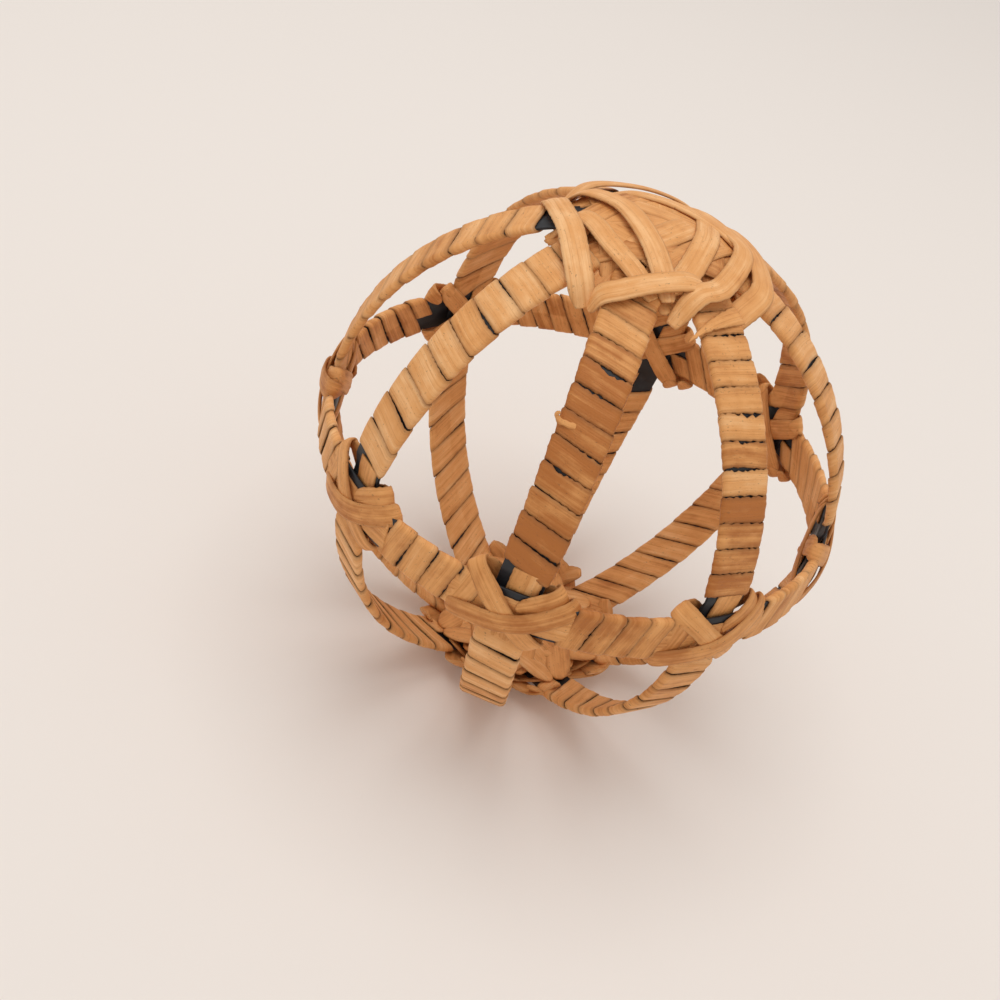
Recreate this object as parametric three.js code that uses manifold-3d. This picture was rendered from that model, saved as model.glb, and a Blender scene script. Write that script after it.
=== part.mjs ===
// Openwork ball of wound cane: four upright hoops and one level hoop of flat
// black strip, each wound with flat cane, lashed together where they cross and
// tied over both poles with a woven star of the same cane.
//
// Millimetres, +Z up. The origin is the centre of the small flat spot under
// the ball, and the upright hoops cross on the Z axis.

import * as THREE from 'three';
import { LoftGeometry } from 'three/addons/geometries/LoftGeometry.js';
import { mergeVertices } from 'three/addons/utils/BufferGeometryUtils.js';
import Module from 'manifold-3d';

const wasm = await Module();
wasm.setup();

// ---------------------------------------------------------------- dimensions

const ballRadius = 63.5;
const poleStretch = 1.025;
const levelRise = 1;
const flatDepth = 0.9;

const coreWidth = 10.2;
const coreThickness = 0.7;
const clearance = 0.3;
const caneThickness = 0.6;
const turnGap = 0.3;

// Radius of the middle of the black strip in a wound stretch.
const coreRadius = ballRadius - caneThickness - clearance - coreThickness / 2;

// The four upright hoops, in the order in which the ribs go round. Azimuth is
// that of the first of the hoop's two ribs. shift moves the whole hoop aside,
// and bow bends it aside: above the level hoop, below it on the first rib and
// below it on the far rib. stack is how far the black strip lies above its own
// path where the hoops cross.
const hoops = [
  { azimuth: 223.5, shift: 2.9, bow: [4, -4, -4], stack: -3.3, turns: 10 },
  { azimuth: 264.1, shift: 3.7, bow: [5.2, 1.5, -8], stack: -2.1, turns: 12 },
  { azimuth: 312.1, shift: -1.7, bow: [2.6, -2.6, -2.6], stack: -0.9, turns: 12 },
  { azimuth: 360.4, shift: -5.4, bow: [-3.2, 3.2, 3.2], stack: 0.3, turns: 10 },
];
const ribCount = 2 * hoops.length;

// Turns of cane on an upper far rib, on any lower rib and on the level hoop
// between two ribs.
const farTurns = 9;
const lowerTurns = 8;
const levelTurns = 5;

// Where the black strip bends, in degrees from the level hoop. It is straight
// between bends, which stand proud of its true curve by bendRelief. It dips
// inside the level hoop at a crossing, and between the end of the winding and
// the last bend it moves to its place in the stack.
const crossingEnd = 6;
const windingStart = 9.6;
const windingEnd = 72;
const stackStart = 79;
const coreBends = [0, crossingEnd, windingStart, 20, 30.4, 40.8, 51.2, 61.6, windingEnd, stackStart];
const bendRelief = 0.15;
const crossingDip = -1.15;
const levelLift = 0.4;
const levelBends = 36;

// How far along a turn the wound strip has come at each of its four corners:
// inside left, outside left, outside right, inside right.
const turnAdvance = [0, 0.1, 0.3, 0.4];

// Lashing of a crossing: where its strip runs, from the middle of the crossing.
const lash = { crossing: 3, edge: 5.9, notchSide: 7.8, notchUp: 8.3, behind: 6.6 };
const lashWidths = { crossing: 6.8, edge: 4.2, notch: 3, behind: 5.8 };
const lashHeights = { top: 2.6, bottom: 1.75, edge: 2.15, notch: 0.1, behind: -2 };

// Woven star over a pole, in polar angles and radii. Its rim strip runs over
// the ends of the ribs' windings and down into the notch between two ribs.
const star = { thickness: 0.7, width: 7.2, radius: 66.1 };
const starEnd = { polar: 22, width: 6.4 };
const rim = { latitude: 68.2, width: 6.2, side: 6.2 };
const notch = { polar: 24.4, radius: 62, width: 3.6 };

// The top star stands fuller towards one side, by this much at its rim.
const swell = { azimuth: 20, height: 1.8 };

// Star strips, from place to place round the rim. Place 2.5 is halfway between
// ribs 2 and 3.
const topStar = [[1.5, 5.5], [5.5, 2.8], [7.4, 2.45], [8.5, 2.1], [4.5, 8.5]];
const bottomStar = [[1.5, 5.5], [2.5, 7.5], [3.5, 8.5]];

// Height of the ball's centre over the flat spot.
const centreHeight = star.radius + star.thickness / 2 - flatDepth;

const caneColour = 0xc99862;
const paleCaneColour = 0xd6a873;
const blackColour = 0x17191d;

// ------------------------------------------------------------------- helpers

const radians = THREE.MathUtils.degToRad;
const degrees = THREE.MathUtils.radToDeg;
const up = new THREE.Vector3(0, 0, 1);

// A closed body from sections that run along it. A ring repeats its first
// section at the end, anything else is capped.
function loft(sections, ring = false) {
  return new LoftGeometry(ring ? [...sections, sections[0]] : sections, {
    capStart: !ring,
    capEnd: !ring,
  });
}

function toManifold(geometry) {
  geometry.deleteAttribute('normal');
  geometry.deleteAttribute('uv');
  const merged = mergeVertices(geometry);
  return new wasm.Manifold(new wasm.Mesh({
    numProp: 3,
    vertProperties: new Float32Array(merged.getAttribute('position').array),
    triVerts: new Uint32Array(merged.getIndex().array),
  }));
}

function fromManifold(solid) {
  const mesh = solid.getMesh();
  const geometry = new THREE.BufferGeometry();
  geometry.setAttribute('position', new THREE.BufferAttribute(mesh.vertProperties, 3));
  geometry.setIndex(new THREE.BufferAttribute(mesh.triVerts, 1));
  geometry.computeVertexNormals();
  return geometry;
}

// --------------------------------------------------------------------- paths

// How far the black strip of an upright hoop lies above its plain path at an
// angle along the hoop, where 0 and 180 are the crossings with the level hoop.
function coreLift(hoop, angle) {
  const fromLevel = Math.abs(((angle % 180) + 270) % 180 - 90);
  const dip = THREE.MathUtils.clamp((windingStart - fromLevel) / (windingStart - crossingEnd), 0, 1);
  const rise = THREE.MathUtils.clamp((fromLevel - windingEnd) / (stackStart - windingEnd), 0, 1);
  return crossingDip * dip + hoop.stack * rise;
}

function hoopPoint(hoop, angle, lift) {
  const outward = new THREE.Vector3(Math.cos(radians(hoop.azimuth)), Math.sin(radians(hoop.azimuth)), 0);
  const aside = new THREE.Vector3().crossVectors(up, outward);
  const c = Math.cos(radians(angle));
  const s = Math.sin(radians(angle));
  const [above, below, farBelow] = hoop.bow;
  const lower = c > 0 ? below : farBelow;
  const bow = s > 0 ? above : lower;
  return new THREE.Vector3()
    .addScaledVector(outward, (coreRadius + lift) * c)
    .addScaledVector(up, (coreRadius + lift) * s * poleStretch)
    .addScaledVector(aside, hoop.shift * c * c + bow * Math.abs(s * c));
}

function frame(point, before, after) {
  const along = after.clone().sub(before).normalize();
  const out = point.clone().addScaledVector(along, -point.dot(along)).normalize();
  const across = new THREE.Vector3().crossVectors(along, out);
  return { point, along, out, across };
}

// Frame on an upright hoop, on the middle of its black strip.
function hoopFrame(hoop, angle) {
  const step = 0.5;
  return frame(
    hoopPoint(hoop, angle, coreLift(hoop, angle)),
    hoopPoint(hoop, angle - step, 0),
    hoopPoint(hoop, angle + step, 0),
  );
}

function levelPoint(azimuth) {
  const radius = coreRadius + levelLift;
  return new THREE.Vector3(
    radius * Math.cos(radians(azimuth)),
    radius * Math.sin(radians(azimuth)),
    levelRise,
  );
}

function levelFrame(azimuth) {
  const step = 0.5;
  const point = levelPoint(azimuth);
  const { along } = frame(point, levelPoint(azimuth - step), levelPoint(azimuth + step));
  const out = point.clone().setZ(0).normalize();
  return { point, along, out, across: new THREE.Vector3().crossVectors(along, out) };
}

function place({ point, out, across }, side, height) {
  return point.clone().addScaledVector(across, side).addScaledVector(out, height);
}

// Ribs 1 to 4 are the first ribs of the hoops and ribs 5 to 8 the far ones. A
// rib's angles run along its hoop, up or down from the level hoop.
const ribs = Array.from({ length: ribCount }, (_, i) => {
  const hoop = hoops[i % hoops.length];
  const far = i >= hoops.length;
  const crossing = hoopPoint(hoop, far ? 180 : 0, 0);
  return {
    hoop,
    far,
    turns: far ? farTurns : hoop.turns,
    crossingAzimuth: (degrees(Math.atan2(crossing.y, crossing.x)) + 360) % 360,
  };
});

// Angle along a rib's hoop at a latitude, which is negative below.
function hoopAngle(rib, latitude) {
  return rib.far ? 180 - latitude : latitude;
}

// -------------------------------------------------------------------- pieces

// Black strip along a closed path.
function coreGeometry(frames) {
  const w = coreWidth / 2;
  const low = bendRelief - coreThickness / 2;
  const high = bendRelief + coreThickness / 2;
  const sections = frames.map((f) => [
    place(f, -w, low),
    place(f, -w, high),
    place(f, w, high),
    place(f, w, low),
  ]);
  return loft(sections, true);
}

function hoopCore(hoop) {
  const quarter = [...coreBends, 90];
  const half = [...quarter, ...coreBends.slice(1).reverse().map((angle) => 180 - angle)];
  const angles = [...half, ...half.map((angle) => angle + 180)];
  return coreGeometry(angles.map((angle) => hoopFrame(hoop, angle)));
}

function levelCore() {
  const angles = Array.from({ length: levelBends }, (_, i) => 360 * i / levelBends);
  return coreGeometry(angles.map(levelFrame));
}

// The corners of a strip that goes round the black strip, as the side and the
// face, and where its inner and outer edges lie on a frame at one corner.
const corners = [[-1, -1], [-1, 1], [1, 1], [1, -1]];

function cornerSection(near, far, [side, face]) {
  const w = side * (coreWidth / 2 + clearance);
  const t = face * (coreThickness / 2 + clearance);
  const outerW = w + side * caneThickness;
  const outerT = t + face * caneThickness;
  return [place(near, w, t), place(far, w, t), place(far, outerW, outerT), place(near, outerW, outerT)];
}

// One strip of cane wound round the black strip from one angle to another.
function winding(frameAt, start, end, turns) {
  const pitch = (end - start) / (turns - 1 + turnAdvance.at(-1) + 1);
  const width = pitch - degrees(turnGap / coreRadius);
  const sections = Array.from({ length: 4 * turns }, (_, i) => {
    const angle = start + pitch * (Math.floor(i / 4) + turnAdvance[i % 4]);
    return cornerSection(frameAt(angle), frameAt(angle + width), corners[i % 4]);
  });
  return loft(sections);
}

function ribWinding(rib, low, high, turns) {
  const [start, end] = [hoopAngle(rib, low), hoopAngle(rib, high)].sort((a, b) => a - b);
  return winding((angle) => hoopFrame(rib.hoop, angle), start, end, turns);
}

function levelWinding(rib, next) {
  const start = rib.crossingAzimuth + windingStart;
  const span = (next.crossingAzimuth - rib.crossingAzimuth + 360) % 360;
  return winding(levelFrame, start, start + span - 2 * windingStart, levelTurns);
}

// Flat strip through stations, each with a point, a direction that it faces
// and a width.
function strip(stations, thickness, ring) {
  const count = stations.length;
  const sections = stations.map(({ point, facing, width }, i) => {
    const before = stations[ring ? (i + count - 1) % count : Math.max(i - 1, 0)].point;
    const after = stations[ring ? (i + 1) % count : Math.min(i + 1, count - 1)].point;
    const along = after.clone().sub(before).normalize();
    const side = new THREE.Vector3().crossVectors(along, facing).normalize();
    const out = new THREE.Vector3().crossVectors(side, along);
    const w = side.multiplyScalar(width / 2);
    const t = out.multiplyScalar(thickness / 2);
    return [
      point.clone().sub(w).sub(t),
      point.clone().sub(w).add(t),
      point.clone().add(w).add(t),
      point.clone().add(w).sub(t),
    ];
  });
  return loft(sections, ring);
}

// Lashing of one crossing: two strips that cross outside and are one strip,
// led through the four notches and behind the rib above and below.
function lashing(rib) {
  const riseAngle = degrees(levelRise / coreRadius);
  const base = hoopFrame(rib.hoop, hoopAngle(rib, riseAngle));
  const at = (x, y, height, facing, width) => {
    const drop = (x * x + y * y) / (2 * coreRadius);
    return {
      point: place(base, x, height - crossingDip - drop).addScaledVector(base.along, y),
      facing: new THREE.Vector3()
        .addScaledVector(base.across, facing[0])
        .addScaledVector(base.along, facing[1])
        .addScaledVector(base.out, facing[2]),
      width,
    };
  };
  const half = (crest, s) => {
    const { crossing, edge, notchSide, notchUp, behind } = lash;
    return [
      at(-edge, -s * edge, lashHeights.edge, [-0.5, -0.5 * s, 1], lashWidths.edge),
      at(-crossing, -s * crossing, crest, [0, 0, 1], lashWidths.crossing),
      at(crossing, s * crossing, crest, [0, 0, 1], lashWidths.crossing),
      at(edge, s * edge, lashHeights.edge, [0.5, 0.5 * s, 1], lashWidths.edge),
      at(notchSide, s * notchUp, lashHeights.notch, [1, s, 0], lashWidths.notch),
      at(edge, s * behind, lashHeights.behind, [0.5, 0.1 * s, -1], lashWidths.behind),
      at(-edge, s * behind, lashHeights.behind, [-0.5, 0.1 * s, -1], lashWidths.behind),
      at(-notchSide, s * notchUp, lashHeights.notch, [-1, s, 0], lashWidths.notch),
    ];
  };
  return strip([...half(lashHeights.top, 1), ...half(lashHeights.bottom, -1)], caneThickness, true);
}

// Point at a place round the rim of a cap. pole is 1 above and -1 below.
function rimPoint(number, pole, polar, radius) {
  const share = number % 1;
  const [rib, next] = [ribs[Math.floor(number) - 1], ribs[Math.floor(number) % ribCount]];
  const [from, to] = [rib, next]
    .map(({ hoop, far }) => hoopPoint(hoop, hoopAngle({ far }, pole * (90 - polar)), 0));
  const middle = from.lerp(to, share).setZ(0).setLength(radius * Math.sin(radians(polar)));
  return middle.setZ(pole * radius * Math.cos(radians(polar)));
}

// Moves a point out to the surface that the star's strips lie on.
function ontoStar(point) {
  const side = new THREE.Vector3(Math.cos(radians(swell.azimuth)), Math.sin(radians(swell.azimuth)), 0);
  const towards = point.dot(side) / (point.length() * Math.sin(radians(starEnd.polar)));
  const fuller = point.z > 0 ? swell.height * THREE.MathUtils.clamp(towards, 0, 1) : 0;
  return point.setLength(star.radius + fuller);
}

// Rim strip: over each rib in turn and down into each notch, once round.
function rimStrip(pole) {
  const stations = ribs.flatMap((rib, i) => {
    const over = hoopFrame(rib.hoop, hoopAngle(rib, pole * rim.latitude));
    const side = rib.far ? -rim.side : rim.side;
    const dip = rimPoint(i + 1.5, pole, notch.polar, notch.radius);
    return [
      { point: ontoStar(place(over, -side, 0)), facing: over.out, width: rim.width },
      { point: ontoStar(place(over, side, 0)), facing: over.out, width: rim.width },
      { point: dip, facing: dip.clone().setZ(0), width: notch.width },
    ];
  });
  return strip(stations, star.thickness, true);
}

// Star strip, straight over the cap and under the rim strip at both ends.
function starStrip([first, last], pole) {
  const ends = [first, last].map((n) => rimPoint(n, pole, starEnd.polar, star.radius));
  const stations = [0, 1 / 3, 2 / 3, 1].map((share) => {
    const point = ontoStar(ends[0].clone().lerp(ends[1], share));
    return { point, facing: point, width: share % 1 ? star.width : starEnd.width };
  });
  return strip(stations, star.thickness, false);
}

function cap(pole, starStrips) {
  const strips = [rimStrip(pole), ...starStrips.map((ends) => starStrip(ends, pole))];
  return strips.map(toManifold).reduce((sum, next) => sum.add(next));
}

// Cuts the flat spot across the lowest strips of the bottom cap.
function pressedFlat(solid) {
  const size = 2 * ballRadius;
  const below = new THREE.BoxGeometry(size, size, size);
  below.translate(0, 0, -centreHeight - size / 2);
  return solid.subtract(toManifold(below));
}

// --------------------------------------------------------------------- model

const ball = new THREE.Group();

function addPiece(name, geometry, color, roughness) {
  const material = new THREE.MeshStandardMaterial({ color, roughness, metalness: 0 });
  const mesh = new THREE.Mesh(geometry, material);
  mesh.name = name;
  mesh.position.z = centreHeight;
  ball.add(mesh);
}

const addBlack = (name, geometry) => addPiece(name, geometry, blackColour, 0.45);
const addCane = (name, geometry) => addPiece(name, geometry, caneColour, 0.6);
const addPaleCane = (name, geometry) => addPiece(name, geometry, paleCaneColour, 0.55);

hoops.forEach((hoop, i) => addBlack(`hoop_core_${i + 1}`, hoopCore(hoop)));
addBlack('level_hoop_core', levelCore());

ribs.forEach((rib, i) => {
  const number = i + 1;
  addCane(`upper_winding_${number}`, ribWinding(rib, windingStart, windingEnd, rib.turns));
  addCane(`lower_winding_${number}`, ribWinding(rib, -windingEnd, -windingStart, lowerTurns));
  addCane(`level_winding_${number}`, levelWinding(rib, ribs[number % ribCount]));
  addCane(`lashing_${number}`, lashing(rib));
});

addPaleCane('top_star', fromManifold(cap(1, topStar)));
addCane('bottom_star', fromManifold(pressedFlat(cap(-1, bottomStar))));

export default ball;
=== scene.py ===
"""Openwork ball of wound cane: the finished surfaces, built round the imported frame.

Flat black strip makes four upright hoops and one level hoop. Flat cane is wound
round them, lashes their crossings and is woven into a star over each pole.
"""

import math

import bpy
import numpy as np
from bpy.props import FloatProperty, FloatVectorProperty, IntProperty, PointerProperty
from bpy.types import Operator, Panel, PropertyGroup
from mathutils import Matrix, Vector


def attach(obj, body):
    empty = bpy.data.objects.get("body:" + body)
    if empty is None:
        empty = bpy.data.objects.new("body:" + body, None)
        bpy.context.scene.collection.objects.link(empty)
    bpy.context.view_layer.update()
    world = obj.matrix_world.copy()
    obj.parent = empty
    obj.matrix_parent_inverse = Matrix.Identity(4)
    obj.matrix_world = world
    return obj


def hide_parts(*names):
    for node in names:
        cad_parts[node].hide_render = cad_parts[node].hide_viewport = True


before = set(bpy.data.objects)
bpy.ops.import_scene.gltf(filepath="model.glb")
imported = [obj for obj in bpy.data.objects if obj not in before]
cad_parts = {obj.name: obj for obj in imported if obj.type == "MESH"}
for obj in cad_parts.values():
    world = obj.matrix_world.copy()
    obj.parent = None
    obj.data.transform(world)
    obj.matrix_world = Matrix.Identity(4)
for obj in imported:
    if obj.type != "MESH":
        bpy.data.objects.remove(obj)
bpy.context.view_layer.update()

bl_info = {
    "name": "Wound Cane Ball",
    "version": (1, 0, 0),
    "blender": (4, 5, 0),
    "location": "3D View > Sidebar > Cane Ball",
    "description": "Openwork ball of black strip hoops wound, lashed and woven with cane",
    "category": "Add Mesh",
}

MM = 0.001
BODY = "root"
UP = np.array([0.0, 0.0, 1.0])


# ------------------------------------------------------------------ the hoops


class Hoop:
    """An upright hoop: the azimuth of its first rib, and how it bends aside.

    shift moves the whole hoop aside. bow bends it aside above the level hoop,
    below it on the first rib and below it on the far rib. stack is how far its
    strip lies above its plain path where the hoops cross.
    """

    def __init__(self, azimuth, shift, bow, stack):
        self.azimuth = azimuth
        self.shift = shift * MM
        self.bow = [b * MM for b in bow]
        self.stack = stack * MM


HOOPS = [
    Hoop(223.5, 2.9, (4, -4, -4), -3.3),
    Hoop(264.1, 3.7, (5.2, 1.5, -8), -2.1),
    Hoop(312.1, -1.7, (2.6, -2.6, -2.6), -0.9),
    Hoop(360.4, -5.4, (-3.2, 3.2, 3.2), 0.3),
]
RIB_COUNT = 2 * len(HOOPS)


def smooth_step(x):
    x = np.clip(x, 0.0, 1.0)
    return x * x * (3.0 - 2.0 * x)


def unit(v):
    return v / np.linalg.norm(v, axis=-1, keepdims=True)


class Frames:
    """Points along a path, each with its directions along, out and across."""

    def __init__(self, point, along, out):
        self.point = point
        self.along = along
        self.out = out
        self.across = np.cross(along, out)

    def place(self, side, height):
        side = np.asarray(side)[..., None]
        height = np.asarray(height)[..., None]
        return self.point + self.across * side + self.out * height


class UprightPath:
    """The middle of an upright hoop's strip, by the angle from the level hoop."""

    def __init__(self, sizes, hoop):
        self.sizes = sizes
        self.hoop = hoop

    def lift(self, angle):
        from_level = np.abs((np.mod(angle, 180.0) + 270.0) % 180.0 - 90.0)
        s = self.sizes
        dip = smooth_step((s.winding_start - from_level) / (s.winding_start - s.crossing_end))
        rise = smooth_step((from_level - s.winding_end) / (s.stack_start - s.winding_end))
        return s.crossing_dip * dip + self.hoop.stack * rise

    def points(self, angle, lift):
        azimuth = math.radians(self.hoop.azimuth)
        outward = np.array([math.cos(azimuth), math.sin(azimuth), 0.0])
        aside = np.cross(UP, outward)
        c = np.cos(np.radians(angle))
        s = np.sin(np.radians(angle))
        above, below, far_below = self.hoop.bow
        lower = np.where(c > 0, below, far_below)
        bow = np.where(s > 0, above, lower)
        radius = self.sizes.core_radius + lift
        aside_by = self.hoop.shift * c * c + bow * np.abs(s * c)
        point = (radius * c)[..., None] * outward
        point = point + (radius * s * self.sizes.pole_stretch)[..., None] * UP
        return point + aside_by[..., None] * aside

    def frames(self, angle):
        angle = np.asarray(angle, dtype=float)
        step = 0.5
        ahead = self.points(angle + step, np.zeros_like(angle))
        behind = self.points(angle - step, np.zeros_like(angle))
        along = unit(ahead - behind)
        point = self.points(angle, self.lift(angle))
        out = point - along * np.sum(point * along, axis=-1, keepdims=True)
        return Frames(point + self.sizes.centre, along, unit(out))


class LevelPath:
    """The middle of the level hoop's strip, by azimuth."""

    def __init__(self, sizes):
        self.sizes = sizes

    def frames(self, azimuth):
        a = np.radians(np.asarray(azimuth, dtype=float))
        zero = np.zeros_like(a)
        out = np.stack([np.cos(a), np.sin(a), zero], axis=-1)
        along = np.stack([-np.sin(a), np.cos(a), zero], axis=-1)
        radius = self.sizes.core_radius + self.sizes.level_lift
        point = radius * out + self.sizes.level_rise * UP
        return Frames(point + self.sizes.centre, along, out)


class Rib:
    """One of the eight ribs. Its angles run along its hoop."""

    def __init__(self, sizes, index):
        self.number = index + 1
        self.hoop = HOOPS[index % len(HOOPS)]
        self.far = index >= len(HOOPS)
        self.path = UprightPath(sizes, self.hoop)
        crossing = self.path.points(np.array(self.angle(0.0)), np.array(0.0))
        self.azimuth = math.degrees(math.atan2(crossing[1], crossing[0])) % 360.0

    def angle(self, latitude):
        return 180.0 - latitude if self.far else float(latitude)


# ------------------------------------------------------------------- settings


def length(name, description, millimetres, lowest=0.0):
    return FloatProperty(
        name=name,
        description=description,
        default=millimetres * MM,
        min=lowest * MM,
        unit="LENGTH",
        precision=5,
    )


def colour(name, description, rgb):
    return FloatVectorProperty(
        name=name,
        description=description,
        default=rgb,
        size=3,
        min=0.0,
        max=1.0,
        subtype="COLOR",
    )


class CaneBallSizes(PropertyGroup):
    """Sizes of the strips and hoops."""

    ball_radius: length("Ball radius", "Radius over the wound ribs", 63.5)
    centre_height: length("Centre height", "Height of the ball's centre over the flat spot", 65.55)
    core_width: length("Black strip width", "Width of the black strip of the hoops", 10.2)
    core_thickness: length("Black strip thickness", "Thickness of the black strip", 0.7)
    cane_thickness: length("Cane thickness", "Thickness of the flat cane", 0.6)
    slack: length("Slack", "Room between the cane and the black strip", 0.15)
    turn_gap: length("Gap between turns", "Mean gap between two turns of the cane", 0.01)


class CaneBallColours(PropertyGroup):
    """Colours of the cane and of the black strip."""

    honey: colour("Honey cane", "Cane's main colour", (0.79, 0.365, 0.115))
    pale: colour("Pale cane", "Fresh, pale cane", (0.95, 0.55, 0.25))
    brown: colour("Brown cane", "Darker streaks", (0.47, 0.155, 0.028))
    # This colour paints the specks and also the painted shade along the strip edges.
    speck_and_shade: colour("Stain", "Specks and old dirt", (0.10, 0.045, 0.018))
    black: colour("Black strip", "Strip of the hoops", (0.012, 0.013, 0.016))


class CaneBallStage(PropertyGroup):
    """Floor, lights and camera."""

    floor: colour("Floor", "Colour of the pale floor", (0.86, 0.80, 0.75))
    key: FloatProperty(
        name="Main light", description="Power of the large soft light", default=4.2, min=0.0
    )
    fill: FloatProperty(
        name="Fill light", description="Strength of the light all round", default=0.70, min=0.0
    )
    lens: FloatProperty(
        name="Lens", description="Focal length in millimetres", default=50.4, min=10.0
    )
    turns: IntProperty(
        name="Steps a turn", description="Sections in one turn of the winding", default=40, min=16
    )


class Sizes:
    """The sizes that the pieces share, in metres and degrees."""

    def __init__(self, settings):
        self.core_width = settings.core_width
        self.core_thickness = settings.core_thickness
        self.cane = settings.cane_thickness
        self.slack = settings.slack
        self.turn_gap = settings.turn_gap
        self.centre = settings.centre_height * UP
        clearance = 0.3 * MM
        self.core_radius = settings.ball_radius - self.cane - clearance - self.core_thickness / 2
        self.pole_stretch = 1.025
        self.level_rise = 1.0 * MM
        self.level_lift = 0.4 * MM
        self.crossing_dip = -1.15 * MM
        self.crossing_end = 6.0
        self.winding_start = 9.6
        self.winding_end = 72.0
        self.stack_start = 79.0


def sizes_of(context):
    return Sizes(context.scene.cane_ball_sizes)


def ribs_of(sizes):
    return [Rib(sizes, i) for i in range(RIB_COUNT)]


# ------------------------------------------------------------------- strips


class Waves:
    """A smooth, repeatable wobble of a number, of about unit size."""

    def __init__(self, seed):
        rng = np.random.default_rng(seed)
        self.rates = rng.uniform(0.55, 1.7, 7)
        self.starts = rng.uniform(0.0, 2.0 * math.pi, 7)
        self.sizes = rng.uniform(0.5, 1.0, 7)

    def __call__(self, x):
        x = np.asarray(x, dtype=float)[..., None]
        wave = self.sizes * np.sin(2.0 * math.pi * self.rates * x + self.starts)
        return np.sum(wave, axis=-1) / 1.9


# The outline of a flat cane strip, as shares of half its width and half its
# thickness. The skin side is the upper one and is a little crowned.
SKIN = [-1.0, -0.94, -0.8, -0.6, -0.4, -0.2, 0.0, 0.2, 0.4, 0.6, 0.8, 0.94, 1.0]
SKIN_HEIGHT = [0.0, 0.66, 0.9, 0.96, 1.0, 1.03, 1.04, 1.03, 1.0, 0.96, 0.9, 0.66, 0.0]
INNER = [0.94, 0.5, -0.5, -0.94]
INNER_HEIGHT = [-0.8, -1.0, -1.0, -0.8]
OUTLINE = np.array(SKIN + INNER)
OUTLINE_HEIGHT = np.array(SKIN_HEIGHT + INNER_HEIGHT)
OUTLINE_ON_SKIN = np.array([1.0] * len(SKIN) + [0.0] * len(INNER))


class StripMesh:
    """Collects strips into one mesh, with the marks that the material reads."""

    def __init__(self):
        self.points = []
        self.faces = []
        self.marks = {"strip": [], "tone": [], "worn": []}
        self.count = 0

    def add(self, grid, marks, ring=False):
        rows, columns = grid.shape[:2]
        index = self.count + np.arange(rows * columns).reshape(rows, columns)
        following = np.roll(index, -1, axis=0) if ring else index[1:]
        start = index if ring else index[:-1]
        quads = np.stack(
            [start, np.roll(start, -1, axis=1), np.roll(following, -1, axis=1), following],
            axis=-1,
        )
        self.faces += quads.reshape(-1, 4).tolist()
        if not ring:
            self.faces.append(index[0][::-1].tolist())
            self.faces.append(index[-1].tolist())
        self.points.append(grid.reshape(-1, 3))
        for name, values in marks.items():
            wide = 3 if name == "strip" else 1
            full = np.broadcast_to(values, (rows, columns) + ((3,) if wide == 3 else ()))
            self.marks[name].append(full.reshape(-1, wide) if wide == 3 else full.reshape(-1))
        self.count += rows * columns

    def build(self, name):
        points = np.concatenate(self.points)
        mesh = bpy.data.meshes.new(name)
        mesh.from_pydata(points.tolist(), [], self.faces)
        for mark, parts in self.marks.items():
            values = np.concatenate(parts)
            kind, field = ("FLOAT_VECTOR", "vector") if mark == "strip" else ("FLOAT", "value")
            layer = mesh.attributes.new(mark, kind, "POINT")
            layer.data.foreach_set(field, np.ascontiguousarray(values, dtype=np.float32).ravel())
        mesh.shade_smooth()
        mesh.update()
        return mesh


def strip_marks(distance, across, seed, tone, worn=0.0):
    """Marks of a grid of rows along a strip: where a point lies on it, in millimetres."""
    rows, columns = across.shape
    where = np.zeros((rows, columns, 3))
    where[..., 0] = distance[:, None] / MM
    where[..., 1] = across / MM
    where[..., 2] = seed
    tone = np.broadcast_to(np.asarray(tone, dtype=float).reshape(-1, 1), (rows, columns))
    worn = np.broadcast_to(np.asarray(worn, dtype=float), (rows, columns))
    return {"strip": where, "tone": tone, "worn": worn}


def ridges(distance, share, seed, depth):
    """Low ridges that run along a strip, by the share of its half width."""
    total = np.zeros(share.shape)
    rng = np.random.default_rng(seed)
    for rate, size in ((2.1, 0.6), (4.3, 0.35), (7.7, 0.25)):
        drift = Waves(rng.integers(1 << 30))(distance / (60.0 * MM))
        phase = rng.uniform(0.0, 2.0 * math.pi)
        total += size * np.sin(rate * math.pi * share + phase + 2.5 * drift[:, None])
    return depth * total


def round_section(half_width, half_height, place):
    """A point on a flat, round-edged loop, by the share of its length from the
    middle of the inner face, first towards the negative side. Gives the side,
    the height and the direction that the loop faces there."""
    flat = half_width - half_height
    bend = math.pi * half_height
    total = 4.0 * flat + 2.0 * bend
    s = np.mod(place, 1.0) * total
    stops = np.cumsum([flat, bend, 2.0 * flat, bend, flat])
    turn_1 = (s - stops[0]) / half_height
    turn_2 = (s - stops[2]) / half_height
    conditions = [s < stops[0], s < stops[1], s < stops[2], s < stops[3], s >= stops[3]]
    side = np.select(
        conditions,
        [
            -s,
            -flat - half_height * np.sin(turn_1),
            -flat + (s - stops[1]),
            flat + half_height * np.sin(turn_2),
            flat - (s - stops[3]),
        ],
    )
    height = np.select(
        conditions,
        [
            np.full_like(s, -half_height),
            -half_height * np.cos(turn_1),
            np.full_like(s, half_height),
            half_height * np.cos(turn_2),
            np.full_like(s, -half_height),
        ],
    )
    face_side = np.select(
        conditions,
        [np.zeros_like(s), -np.sin(turn_1), np.zeros_like(s), np.sin(turn_2), np.zeros_like(s)],
    )
    face_height = np.select(
        conditions,
        [
            np.full_like(s, -1.0),
            -np.cos(turn_1),
            np.full_like(s, 1.0),
            np.cos(turn_2),
            np.full_like(s, -1.0),
        ],
    )
    return side, height, face_side, face_height, total


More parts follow.
